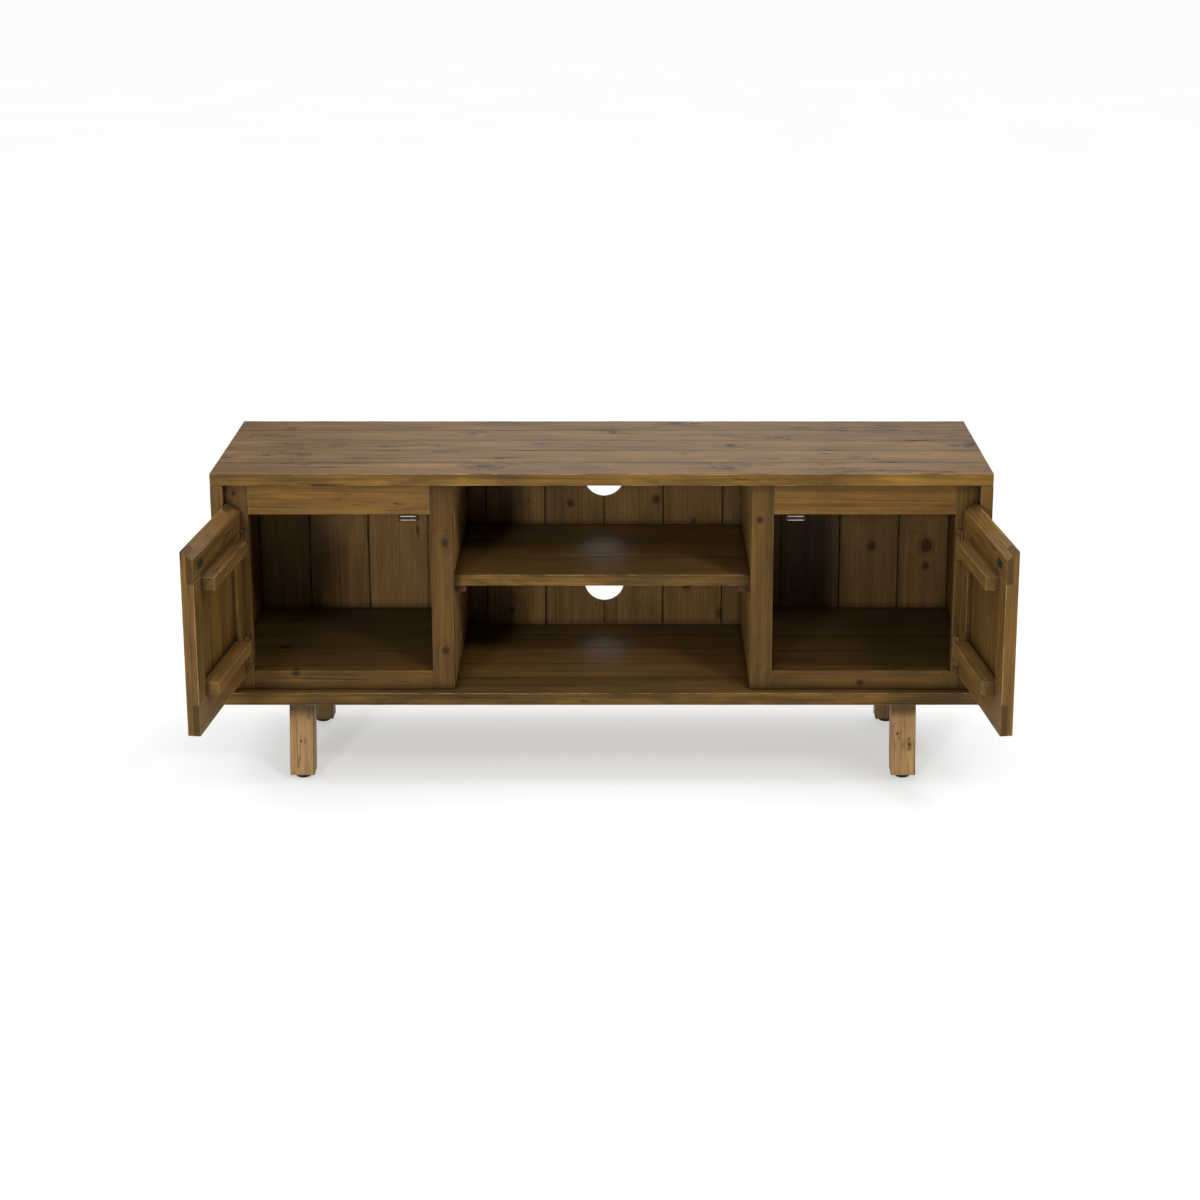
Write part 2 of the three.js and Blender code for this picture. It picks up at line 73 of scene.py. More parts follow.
# --------------------------------------------------------------------------
# node helpers
# --------------------------------------------------------------------------
class Tree:
    """Small helper that lays shader nodes down from code."""

    def __init__(self, tree):
        self.t = tree
        self.x = 0

    def add(self, kind, **props):
        n = self.t.nodes.new(kind)
        self.x += 40
        n.location = (self.x, 0)
        for k, v in props.items():
            setattr(n, k, v)
        return n

    def put(self, socket, value):
        if isinstance(value, bpy.types.NodeSocket):
            self.t.links.new(value, socket)
        elif value is not None:
            socket.default_value = value

    def math(self, op, a, b=None, c=None, clamp=False):
        n = self.add("ShaderNodeMath", operation=op, use_clamp=clamp)
        for s, v in zip(n.inputs, (a, b, c)):
            self.put(s, v)
        return n.outputs[0]

    def vec(self, op, a, b=None, scale=None):
        n = self.add("ShaderNodeVectorMath", operation=op)
        self.put(n.inputs[0], a)
        if b is not None:
            self.put(n.inputs[1], b)
        if scale is not None:
            self.put(n.inputs["Scale"], scale)
        return n.outputs["Value"] if op in ("LENGTH", "DOT_PRODUCT", "DISTANCE") else n.outputs["Vector"]

    def split(self, v):
        n = self.add("ShaderNodeSeparateXYZ")
        self.put(n.inputs[0], v)
        return n.outputs[0], n.outputs[1], n.outputs[2]

    def join(self, x, y, z=0.0):
        n = self.add("ShaderNodeCombineXYZ")
        for s, v in zip(n.inputs, (x, y, z)):
            self.put(s, v)
        return n.outputs[0]

    def noise(self, v, scale=1.0, detail=2.0, rough=0.5, dist=0.0):
        n = self.add("ShaderNodeTexNoise")
        self.put(n.inputs["Vector"], v)
        n.inputs["Scale"].default_value = scale
        n.inputs["Detail"].default_value = detail
        n.inputs["Roughness"].default_value = rough
        n.inputs["Distortion"].default_value = dist
        return n.outputs["Fac"]

    def step(self, v, lo, hi, a=0.0, b=1.0, smooth=True):
        n = self.add("ShaderNodeMapRange", interpolation_type="SMOOTHSTEP" if smooth else "LINEAR")
        n.clamp = True
        self.put(n.inputs["Value"], v)
        n.inputs["From Min"].default_value = lo
        n.inputs["From Max"].default_value = hi
        n.inputs["To Min"].default_value = a
        n.inputs["To Max"].default_value = b
        return n.outputs["Result"]

    def mix(self, fac, a, b, mode="MIX"):
        n = self.add("ShaderNodeMix", data_type="RGBA", blend_type=mode)
        n.clamp_factor = True
        self.put(n.inputs[0], fac)
        for s, v in ((n.inputs[6], a), (n.inputs[7], b)):
            if isinstance(v, tuple) and len(v) == 3:
                v = (*v, 1.0)
            self.put(s, v)
        return n.outputs[2]

    def ramp(self, v, stops, mode="LINEAR"):
        n = self.add("ShaderNodeValToRGB")
        r = n.color_ramp
        r.interpolation = mode
        while len(r.elements) < len(stops):
            r.elements.new(0.5)
        for e, (p, c) in zip(r.elements, stops):
            e.position = p
            e.color = (c, c, c, 1.0) if not isinstance(c, tuple) else (*c, 1.0)
        self.put(n.inputs[0], v)
        return n.outputs[0]

    def attr(self, name):
        return self.add("ShaderNodeAttribute", attribute_type="GEOMETRY", attribute_name=name)


def material(name):
    m = bpy.data.materials.new(name)
    m.use_nodes = True
    m.node_tree.nodes.clear()
    t = Tree(m.node_tree)
    out = t.add("ShaderNodeOutputMaterial")
    bsdf = t.add("ShaderNodeBsdfPrincipled")
    m.node_tree.links.new(bsdf.outputs[0], out.inputs[0])
    return m, t, bsdf


# --------------------------------------------------------------------------
# pine
# --------------------------------------------------------------------------
def pine(name, early, late, wear, knot=(0.034, 0.0135, 0.0040), crack=(0.008, 0.0045, 0.0025),
         stain=0.5, tone=0.22, cracks=0.5, knots=0.25, wear_and_highlight_amount=0.85, rough=0.46, spec=0.13, grey=0.0, ring=0.0050,
         greytone=(0.098, 0.064, 0.026), contrast=1.0, smudge=0.5, leg_top_shadow=0.0,
         fibre=1.0, scratch=0.0, wear_and_highlight_width=0.0048, seam_dark=0.86, knot_fill=1.0, mottle=0.30, end_dark=0.74):
    """Old waxed pine. Every board carries its own grain coordinates (gc: along, across, through, from the
    pith), its place in the board (lc), the board's half sizes (he), its grain direction (ga), the distances to its
    two glued joints (sv), one chosen knot (kn: along, across, radius), a number (pid) and a tone (tn); for some
    boards that tone holds painted light and shade."""
    m, t, bsdf = material(name)
    gc = t.attr("gc").outputs["Vector"]
    lc = t.attr("lc").outputs["Vector"]
    he = t.attr("he").outputs["Vector"]
    ga = t.attr("ga").outputs["Vector"]
    sv = t.attr("sv").outputs["Vector"]
    pid = t.attr("pid").outputs["Fac"]
    tn = t.attr("tn").outputs["Fac"]
    u, v, w = t.split(gc)
    seed = t.math("MULTIPLY", pid, 37.0)

    # --- knots: branches that run through the board's thickness
    wob = t.math("MULTIPLY", t.math("SUBTRACT", t.noise(gc, 90.0, 1.0), 0.5), 0.34)

    def spots(cu, cv, keep, rmin, rmax, off):
        p = t.join(t.math("ADD", t.math("DIVIDE", u, cu), t.math("ADD", seed, off)), t.math("DIVIDE", v, cv))
        vo = t.add("ShaderNodeTexVoronoi", voronoi_dimensions="2D", feature="F1")
        t.put(vo.inputs["Vector"], p)
        vo.inputs["Scale"].default_value = 1.0
        vo.inputs["Randomness"].default_value = 0.45
        d = t.vec("SUBTRACT", p, vo.outputs["Position"])
        dx, dy, _ = t.split(d)
        dx = t.math("MULTIPLY", dx, cu)
        dy = t.math("MULTIPLY", dy, cv)
        cr = t.add("ShaderNodeSeparateColor")
        t.put(cr.inputs[0], vo.outputs["Color"])
        has = t.math("GREATER_THAN", cr.outputs[0], 1.0 - keep)
        rad = t.math("MULTIPLY_ADD", cr.outputs[1], rmax - rmin, rmin)
        dist = t.vec("LENGTH", t.join(t.math("MULTIPLY", dx, 0.78), dy))
        kd = t.math("ADD", t.math("DIVIDE", dist, rad), wob)
        far = t.math("MULTIPLY", t.math("SUBTRACT", 1.0, has), 50.0)
        return t.math("ADD", kd, far), rad

    kr1, krad = spots(0.31, 0.105, knots, 0.0040, 0.0095, 3.1)
    kd = kr1
    near = None
    for k in range(3):
        ka, kc, kq = t.split(t.attr(f"kn{k}").outputs["Vector"])
        one = t.math("ADD", t.math("DIVIDE", t.vec("LENGTH", t.join(t.math("MULTIPLY", ka, 0.80), kc)), kq), wob)
        near = one if near is None else t.math("MINIMUM", near, one)
    kd = t.math("MINIMUM", kd, near)
    pull = t.math("MAXIMUM", t.math("POWER", 2.718, t.math("MULTIPLY", t.math("MULTIPLY", kr1, kr1), -0.42)),
                  t.math("POWER", 2.718, t.math("MULTIPLY", t.math("MULTIPLY", near, near), -0.13)))

    # --- growth rings round the pith
    low = t.noise(t.vec("MULTIPLY", gc, (1.0, 10.0, 10.0)), 1.0, 2.0, 0.5)
    mid = t.noise(t.vec("MULTIPLY", gc, (5.0, 60.0, 60.0)), 1.0, 3.0, 0.6)
    warp = t.math("ADD", t.math("MULTIPLY", t.math("SUBTRACT", low, 0.5), 0.034),
                  t.math("MULTIPLY", t.math("SUBTRACT", mid, 0.5), 0.0045))
    rad = t.vec("LENGTH", t.join(0.0, v, w))
    rad = t.math("ADD", rad, warp)
    rad = t.math("ADD", rad, t.math("MULTIPLY", pull, 0.013))
    phase = t.math("DIVIDE", rad, ring)
    fr = t.math("FRACT", phase)
    rings = t.ramp(fr, [(0.0, 0.22), (0.14, 0.0), (0.50, 0.20), (0.78, 0.80), (0.90, 1.0), (1.0, 0.22)])
    fade = t.step(t.noise(t.vec("ADD", t.vec("MULTIPLY", gc, (1.7, 18.0, 18.0)), (4.0, 2.0, 7.0)), 1.0, 2.0), 0.32, 0.66)
    rings = t.math("MULTIPLY", rings, t.math("MULTIPLY_ADD", fade, 0.75, 0.25))

    # --- fibres, clouds, stains
    fib = t.noise(t.vec("MULTIPLY", gc, (6.0, 260.0, 260.0)), 1.0, 3.0, 0.65)
    fine = t.noise(t.vec("MULTIPLY", gc, (30.0, 1500.0, 1500.0)), 1.0, 2.0, 0.6)
    thread = t.noise(t.vec("ADD", t.vec("MULTIPLY", gc, (3.2, 430.0, 430.0)), (3.9, 5.8, 0.9)), 1.0, 2.0, 0.7)
    cloud = t.noise(t.vec("MULTIPLY", gc, (2.6, 13.0, 13.0)), 1.0, 4.0, 0.60, 0.4)
    blot = t.noise(t.vec("ADD", t.vec("MULTIPLY", gc, (7.0, 26.0, 26.0)), (5.3, 1.7, 9.1)), 1.0, 3.0, 0.6, 0.6)
    streak = t.noise(t.vec("ADD", t.vec("MULTIPLY", gc, (1.5, 70.0, 70.0)), (1.3, 8.8, 2.1)), 1.0, 3.0, 0.6)
    dirt = t.noise(t.vec("ADD", t.vec("MULTIPLY", gc, (11.0, 85.0, 85.0)), (7.7, 3.1, 0.4)), 1.0, 4.0, 0.72, 0.3)
    zone = t.noise(t.vec("ADD", t.vec("MULTIPLY", gc, (5.5, 17.0, 17.0)), (2.2, 6.1, 3.3)), 1.0, 1.0, 0.5)
    smut = t.math("MULTIPLY", t.step(dirt, 0.55, 0.72), t.step(zone, 0.56, 0.68))

    # --- long drying cracks
    ridge = t.math("ABSOLUTE", t.math("SUBTRACT", t.noise(
        t.vec("MULTIPLY", gc, (1.5, 62.0, 62.0)), 1.0, 1.5, 0.5, 0.0), 0.5))
    line = t.step(ridge, 0.0030, 0.012, 1.0, 0.0)
    where = t.step(t.noise(t.vec("ADD", t.vec("MULTIPLY", gc, (3.4, 19.0, 19.0)), (9.0, 4.0, 1.0)), 1.0, 1.5),
                   0.62 - 0.10 * cracks, 0.68 - 0.10 * cracks)
    cr1 = t.math("MULTIPLY", line, where)
    # --- nail holes and small dead knots
    nd, _ = spots(0.083, 0.047, 0.015 + 0.12 * knots, 0.0009, 0.0018, 21.7)
    nail = t.step(nd, 0.75, 1.25, 1.0, 0.0)

    # --- end grain
    tc = t.add("ShaderNodeTexCoord")
    endf = t.math("ABSOLUTE", t.vec("DOT_PRODUCT", tc.outputs["Normal"], ga))
    endg = t.step(endf, 0.72, 0.90)

    # --- how far from the board's nearest arris, and from its glued joints
    ax, ay, az = t.split(t.vec("SUBTRACT", he, t.vec("ABSOLUTE", lc)))
    med = t.math("MAXIMUM", t.math("MINIMUM", ax, ay),
                 t.math("MINIMUM", t.math("MAXIMUM", ax, ay), az))
    wn = t.noise(t.vec("MULTIPLY", gc, (24.0, 24.0, 24.0)), 1.0, 3.0, 0.65)
    wid = t.math("MULTIPLY_ADD", wn, wear_and_highlight_width, -wear_and_highlight_width / 6)
    # wear and painted highlight: the band along each arris that takes the lighter wear colour
    arris_wear_and_highlight = t.math("SUBTRACT", 1.0, t.math("DIVIDE", med, wid), clamp=True)
    arris_wear_and_highlight = t.math("MULTIPLY", t.math("POWER", arris_wear_and_highlight, 0.7), wear_and_highlight_amount)
    s0, s1, _ = t.split(sv)
    sd = t.math("MINIMUM", t.math("ABSOLUTE", s0), t.math("ABSOLUTE", s1))
    seam = t.step(t.math("DIVIDE", sd, t.math("MULTIPLY_ADD", wn, 2.2, 0.1)), 0.0005, 0.0019, 1.0, 0.0)
    halo = t.math("MULTIPLY", t.step(sd, 0.0, 0.010, 1.0, 0.0), t.step(cloud, 0.35, 0.62))

    # --- colour
    col = t.mix(t.math("MULTIPLY", rings, 0.70 * contrast), early, late)
    col = t.mix(t.math("MULTIPLY", t.step(fib, 0.42, 0.72), 0.42 * contrast * fibre), col, late)
    col = t.mix(t.math("MULTIPLY", t.step(thread, 0.52, 0.70), 0.40 * fibre), col, tuple(c * 0.70 for c in late))
    col = t.mix(t.math("MULTIPLY", t.step(thread, 0.47, 0.32), 0.34 * fibre), col, tuple(c * 1.5 for c in early))
    light = tuple(min(1.0, c * 1.34) for c in early)
    col = t.mix(t.math("MULTIPLY", t.step(fib, 0.50, 0.26), 0.34 * contrast), col, light)
    col = t.mix(t.math("MULTIPLY", t.step(streak, 0.53, 0.72), 0.55), col, tuple(c * 0.60 for c in late))
    col = t.mix(t.math("MULTIPLY", t.step(streak, 0.46, 0.30), 0.30), col, light)
    fv = t.math("MULTIPLY_ADD", fine, 0.30, 0.85)
    cv = t.math("MULTIPLY_ADD", t.step(cloud, 0.25, 0.75, smooth=False), stain, 1.0 - stain * 0.5)
    pv = t.math("MULTIPLY_ADD", t.math("FRACT", t.math("MULTIPLY", pid, 7.31)), tone, 1.0 - tone * 0.5)
    mv = t.math("MULTIPLY_ADD", t.step(blot, 0.32, 0.68, smooth=False), -mottle, 1.0 + mottle * 0.27)
    val = t.math("MULTIPLY", t.math("MULTIPLY", t.math("MULTIPLY", fv, cv), pv), mv)
    col = t.mix(1.0, col, t.join(val, val, val), "MULTIPLY")
    # worn, greyer patches of the old surface
    gfac = t.math("MULTIPLY", t.step(blot, 0.48, 0.70), 0.30 + grey)
    col = t.mix(gfac, col, greytone)
    hue = t.math("MULTIPLY", t.math("FRACT", t.math("MULTIPLY", pid, 3.77)), 0.25)
    col = t.mix(hue, col, tuple(c * k for c, k in zip(early, (0.98, 0.80, 0.66))))
    # knots: dark rim, red brown heart with its own rings
    kr = t.math("MULTIPLY_ADD", t.math("SINE", t.math("MULTIPLY", kd, 15.0)), 0.5, 0.5)
    heart = t.mix(t.math("MULTIPLY", kr, t.step(kd, 0.25, 0.8)), knot, tuple(c * 2.3 for c in knot))
    col = t.mix(t.math("MULTIPLY", t.step(kd, 2.4, 0.9), 0.60 * knot_fill), col, tuple(c * 0.72 for c in late))
    col = t.mix(t.math("MULTIPLY", t.step(kd, 1.10, 0.86), 0.85 * knot_fill), col, heart)
    rim = t.math("MULTIPLY", t.step(kd, 0.66, 0.96), t.step(kd, 1.26, 1.02))
    col = t.mix(t.math("MULTIPLY", rim, 0.55), col, crack)
    col = t.mix(t.math("MULTIPLY", smut, smudge), col, tuple(c * 0.42 for c in late))
    # arris wear, lightened with the wear colour both as real wear and as a painted highlight along the arrises, then
    # dark joints, cracks and nail holes over everything
    col = t.mix(arris_wear_and_highlight, col, wear)
    col = t.mix(t.math("MULTIPLY", endg, end_dark), col, tuple(c * 0.62 for c in late))
    # the board's tone; for the dividers, back boards, cupboard floors and back legs this is painted light and shade
    col = t.mix(1.0, col, t.join(tn, tn, tn), "MULTIPLY")
    col = t.mix(t.math("MULTIPLY", halo, 0.35), col, tuple(c * 0.5 for c in late))
    # painted shade: an ambient occlusion mask darkens the inner corners and open joints
    ao = t.add("ShaderNodeAmbientOcclusion", samples=5)
    ao.inputs["Distance"].default_value = 0.022
    corner = t.math("SUBTRACT", 1.0, t.step(ao.outputs["AO"], 0.45, 0.88))
    col = t.mix(t.math("MULTIPLY", corner, 0.80), col, tuple(c * 0.30 for c in late))
    if leg_top_shadow:
        # painted shadow: the top of the leg, where it goes up under the base, is darkened as shade from the base
        zc = t.math("SUBTRACT", t.split(he)[2], t.split(lc)[2])
        zc = t.math("ADD", zc, t.math("MULTIPLY", t.math("SUBTRACT", cloud, 0.5), 0.016))
        col = t.mix(t.math("MULTIPLY", t.step(zc, 0.058, 0.036), leg_top_shadow), col, tuple(c * 0.35 for c in late))
    col = t.mix(t.math("MULTIPLY", seam, seam_dark), col, crack)
    if scratch:
        # short fine cracks, closer together round the knots
        sc = t.noise(t.vec("ADD", t.vec("MULTIPLY", gc, (9.0, 210.0, 210.0)), (6.1, 2.9, 4.4)), 1.0, 2.0, 0.55)
        sl = t.step(t.math("ABSOLUTE", t.math("SUBTRACT", sc, 0.5)), 0.010, 0.030, 1.0, 0.0)
        sz = t.math("ADD", t.noise(t.vec("ADD", t.vec("MULTIPLY", gc, (4.2, 21.0, 21.0)), (1.1, 9.9, 5.5)), 1.0, 2.0),
                    t.math("MULTIPLY", t.step(kd, 6.0, 1.0), 0.34))
        col = t.mix(t.math("MULTIPLY", t.math("MULTIPLY", sl, t.step(sz, 0.54, 0.63)), 0.85 * scratch), col, crack)
        dash = t.step(t.noise(t.vec("ADD", t.vec("MULTIPLY", gc, (38.0, 120.0, 120.0)), (8.4, 0.7, 2.6)), 1.0, 2.0, 0.6),
                      0.580, 0.605)
        col = t.mix(t.math("MULTIPLY", t.math("MULTIPLY", dash, t.step(sz, 0.580, 0.625)), 0.95 * scratch), col, crack)
    col = t.mix(t.math("MULTIPLY", cr1, 0.85), col, crack)
    col = t.mix(t.math("MULTIPLY", nail, 0.85), col, crack)
    t.put(bsdf.inputs["Base Color"], col)

    # --- gloss
    rv = t.math("MULTIPLY_ADD", cloud, 0.16, rough - 0.08)
    rv = t.math("ADD", rv, t.math("MULTIPLY", rings, -0.05))
    rv = t.math("ADD", rv, t.math("MULTIPLY", arris_wear_and_highlight, 0.14))
    rv = t.math("ADD", rv, t.math("MULTIPLY", endg, 0.18))
    rv = t.math("ADD", rv, t.math("MULTIPLY", cr1, 0.30), clamp=True)
    t.put(bsdf.inputs["Roughness"], rv)
    bsdf.inputs["IOR"].default_value = 1.46
    bsdf.inputs["Specular IOR Level"].default_value = spec

    # --- relief
    h = t.math("MULTIPLY", rings, 0.35)
    h = t.math("ADD", h, t.math("MULTIPLY", fib, 0.55))
    h = t.math("ADD", h, t.math("MULTIPLY", fine, 0.25))
    h = t.math("ADD", h, t.math("MULTIPLY", streak, 0.5))
    h = t.math("ADD", h, t.math("MULTIPLY", cloud, 0.8))
    h = t.math("SUBTRACT", h, t.math("MULTIPLY", cr1, 2.2))
    h = t.math("SUBTRACT", h, t.math("MULTIPLY", smut, 0.8))
    h = t.math("SUBTRACT", h, t.math("MULTIPLY", nail, 1.8))
    h = t.math("SUBTRACT", h, t.math("MULTIPLY", rim, 0.9))
    b = t.add("ShaderNodeBump")
    b.inputs["Strength"].default_value = 0.55
    b.inputs["Distance"].default_value = 0.0007
    t.put(b.inputs["Height"], h)
    t.put(bsdf.inputs["Normal"], b.outputs["Normal"])
    return m


EARLY, LATE, WORN = (0.146, 0.0770, 0.0155), (0.062, 0.0295, 0.0060), (0.400, 0.255, 0.100)
BODY_WOOD = pine("pine_body", EARLY, LATE, (0.300, 0.185, 0.068), stain=0.90, fibre=0.95, knots=0.06, smudge=0.7,
                 wear_and_highlight_width=0.0034, wear_and_highlight_amount=0.50, contrast=1.15, ring=0.0068, mottle=0.40)
EDGE_WOOD = pine("pine_edge", (0.148, 0.0800, 0.0150), (0.066, 0.0320, 0.0060), (0.480, 0.320, 0.135), knots=0.0,
                 stain=1.15, smudge=1.0, cracks=0.25, wear_and_highlight_width=0.0034, fibre=1.0, ring=0.0062, mottle=0.85)
TOP_WOOD = pine("pine_top", (0.177, 0.101, 0.0335), (0.088, 0.047, 0.0152), (0.30, 0.185, 0.080),
                cracks=1.0, knots=0.0, stain=0.78, tone=0.22, grey=0.10, rough=0.44, smudge=1.0, spec=0.26, scratch=1.0,
                fibre=1.3, knot_fill=0.8, mottle=0.25)
INNER_WOOD = pine("pine_inner", (0.150, 0.0860, 0.0255), (0.067, 0.0350, 0.0100), (0.26, 0.160, 0.062), cracks=0.0,
                  knots=0.05, rough=0.46, smudge=0.25, fibre=0.95, seam_dark=0.50, contrast=0.85)
DOOR_WOOD = pine("pine_door", (0.144, 0.0790, 0.0190), (0.065, 0.0325, 0.0078), (0.370, 0.235, 0.095), cracks=0.2,
                 knots=0.08, smudge=0.5, fibre=1.05, stain=0.85,
                 ring=0.0062, contrast=1.1, wear_and_highlight_amount=0.65, mottle=0.40)
BATTEN_WOOD = pine("pine_batten", (0.150, 0.0840, 0.0220), (0.074, 0.0375, 0.0092), (0.400, 0.260, 0.110), cracks=0.2,
                   knots=0.0, smudge=0.5, fibre=1.05, stain=0.85,
                   ring=0.0062, contrast=1.1, wear_and_highlight_amount=0.70, mottle=0.40, end_dark=0.12)
LEG_WOOD = pine("pine_leg", (0.310, 0.193, 0.081), (0.192, 0.109, 0.042), (0.37, 0.25, 0.130),
                knot=(0.060, 0.028, 0.010), crack=(0.03, 0.018, 0.009), stain=0.42, tone=0.10, cracks=0.3, knots=0.04,
                rough=0.52, greytone=(0.24, 0.17, 0.10), contrast=0.9, smudge=0.8, leg_top_shadow=0.88, scratch=0.5, fibre=1.2)


# --------------------------------------------------------------------------
# metals and plastics
# --------------------------------------------------------------------------
def metal(name, colour, dark, rough, scratch=220.0):
    m, t, bsdf = material(name)
    tc = t.add("ShaderNodeTexCoord").outputs["Object"]
    n1 = t.noise(tc, 160.0, 4.0, 0.65)
    n2 = t.noise(t.vec("MULTIPLY", tc, (scratch * 3, scratch * 3, scratch * 0.2)), 1.0, 3.0, 0.6)
    spot = t.noise(tc, 900.0, 2.0, 0.6)
    f = t.step(n1, 0.42, 0.66)
    col = t.mix(f, colour, dark)
    col = t.mix(t.math("MULTIPLY", t.step(spot, 0.60, 0.74), 0.6), col, tuple(c * 0.5 for c in dark))
    t.put(bsdf.inputs["Base Color"], col)
    bsdf.inputs["Metallic"].default_value = 1.0
    r = t.math("MULTIPLY_ADD", n1, 0.22, rough - 0.1)
    r = t.math("ADD", r, t.math("MULTIPLY", n2, 0.10))
    t.put(bsdf.inputs["Roughness"], r)
    b = t.add("ShaderNodeBump")
    b.inputs["Strength"].default_value = 0.3
    b.inputs["Distance"].default_value = 0.0001
    t.put(b.inputs["Height"], t.math("ADD", n2, t.math("MULTIPLY", spot, 0.5)))
    t.put(bsdf.inputs["Normal"], b.outputs["Normal"])
    return m


def plastic(name, colour, light, rough, spec=0.14):
    m, t, bsdf = material(name)
    tc = t.add("ShaderNodeTexCoord").outputs["Object"]
    n1 = t.noise(tc, 240.0, 3.0, 0.6)
    n2 = t.noise(tc, 2600.0, 2.0, 0.5)
    col = t.mix(t.step(n1, 0.45, 0.75), colour, light)
    t.put(bsdf.inputs["Base Color"], col)
    r = t.math("MULTIPLY_ADD", n1, 0.18, rough - 0.09)
    t.put(bsdf.inputs["Roughness"], r)
    bsdf.inputs["Specular IOR Level"].default_value = spec
    b = t.add("ShaderNodeBump")
    b.inputs["Strength"].default_value = 0.35
    b.inputs["Distance"].default_value = 0.00012
    t.put(b.inputs["Height"], n2)
    t.put(bsdf.inputs["Normal"], b.outputs["Normal"])
    return m


BRONZE = metal("bronze_aged", (0.150, 0.088, 0.038), (0.070, 0.040, 0.017), 0.50)
STEEL = metal("steel_dull", (0.150, 0.130, 0.105), (0.060, 0.050, 0.038), 0.36)
POLES = metal("steel_poles", (0.420, 0.385, 0.330), (0.240, 0.215, 0.180), 0.34)
CATCH = plastic("catch_brown", (0.016, 0.010, 0.006), (0.026, 0.017, 0.011), 0.46)
GLIDE = plastic("glide_black", (0.008, 0.008, 0.008), (0.020, 0.019, 0.018), 0.50)


# --------------------------------------------------------------------------
# boards from the CAD's own shapes
# --------------------------------------------------------------------------
def closed_frame(node):
    """The move that lays a node square with the axes: doors are turned shut, legs stood upright."""
    body = BODY[node]
    if body in JOINTS:
        j = JOINTS[body]
        lo, hi = j["range_deg"]
        shut = hi if abs(hi) > abs(lo) else lo
        p = Vector(j["pos_m"])
        return Matrix.Translation(p) @ Matrix.Rotation(math.radians(shut), 4, "Z") @ Matrix.Translation(-p)
    if node.startswith("leg_front") or node.startswith("leg_back"):
        lo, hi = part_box(node)
        c = (lo + hi) / 2
        a = math.radians(10.0) * (1 if "front" in node else -1)
        return Matrix.Translation(c) @ Matrix.Rotation(a, 4, "X") @ Matrix.Translation(-c)
    return Matrix.Identity(4)


AX = {"X": 0, "Y": 1, "Z": 2}


def clean_bm(node):
    bm = bmesh.new()
    bm.from_mesh(NODES[node].data)
    bmesh.ops.remove_doubles(bm, verts=bm.verts[:], dist=2e-5)
    bmesh.ops.dissolve_limit(bm, angle_limit=math.radians(0.8), verts=bm.verts[:], edges=bm.edges[:])
    bmesh.ops.recalc_face_normals(bm, faces=bm.faces[:])
    return bm


def slice_bm(bm, axis, at, keep_above):
    no = Vector((0, 0, 0))
    no[axis] = 1.0
    co = Vector((0, 0, 0))
    co[axis] = at
    bmesh.ops.bisect_plane(bm, geom=bm.verts[:] + bm.edges[:] + bm.faces[:], dist=1e-6, plane_co=co, plane_no=no,
                           clear_inner=keep_above, clear_outer=not keep_above)
    edges = [e for e in bm.edges if e.is_boundary]
    if edges:
        bmesh.ops.holes_fill(bm, edges=edges, sides=0)


def ease(bm, width, segments=2, least=0.0022, only=None):
    bm.normal_update()
    edges = [e for e in bm.edges if len(e.link_faces) == 2 and (only is None or only(e))
             and e.calc_face_angle(0.0) > math.radians(24) and e.calc_length() > least]
    if edges:
        bmesh.ops.bevel(bm, geom=edges, offset=width, offset_type="OFFSET", segments=segments, profile=0.5,
                        affect="EDGES", clamp_overlap=True)


def cuts_along(bm, axis, spacing, rnd):
    lo = min(v.co[axis] for v in bm.verts)
    hi = max(v.co[axis] for v in bm.verts)
    n = int((hi - lo) / spacing)
    no = Vector((0, 0, 0))
    no[axis] = 1.0
    for i in range(1, n):
        co = Vector((0, 0, 0))
        co[axis] = lo + (hi - lo) * (i + rnd.uniform(-0.25, 0.25)) / n
        bmesh.ops.bisect_plane(bm, geom=bm.verts[:] + bm.edges[:] + bm.faces[:], dist=1e-6, plane_co=co, plane_no=no)


def wear_down(bm, seed, amount):
    """Moves arris points inwards by an uneven fraction of a millimetre: the edges of an old board aren't straight."""
    bm.normal_update()
    off = Vector((seed * 3.17, seed * 1.91, seed * 5.3))
    moves = []
    for v in bm.verts:
        n = noise.fractal(v.co * 22.0 + off, 0.9, 2.1, 3)
        k = min(1.0, max(0.0, 0.5 + 0.75 * n))
        moves.append(v.normal * (-amount * k))
    for v, d in zip(bm.verts, moves):
        v.co += d


PIECES = {}


def tongue_box(bm, g, va, wa, g0, g1, at, mid):
    t0, t1 = Vector((0, 0, 0)), Vector((0, 0, 0))
    t0[g], t1[g] = g0, g1
    t0[va], t1[va] = at - 0.004, at + 0.004
    t0[wa], t1[wa] = mid - 0.0011, mid + 0.0011
    vs = [bm.verts.new(((t0, t1)[i & 1].x, (t0, t1)[i >> 1 & 1].y, (t0, t1)[i >> 2].z)) for i in range(8)]
    for q in ((0, 2, 3, 1), (4, 5, 7, 6), (0, 1, 5, 4), (2, 6, 7, 3), (0, 4, 6, 2), (1, 3, 7, 5)):
        bm.faces.new([vs[i] for i in q])


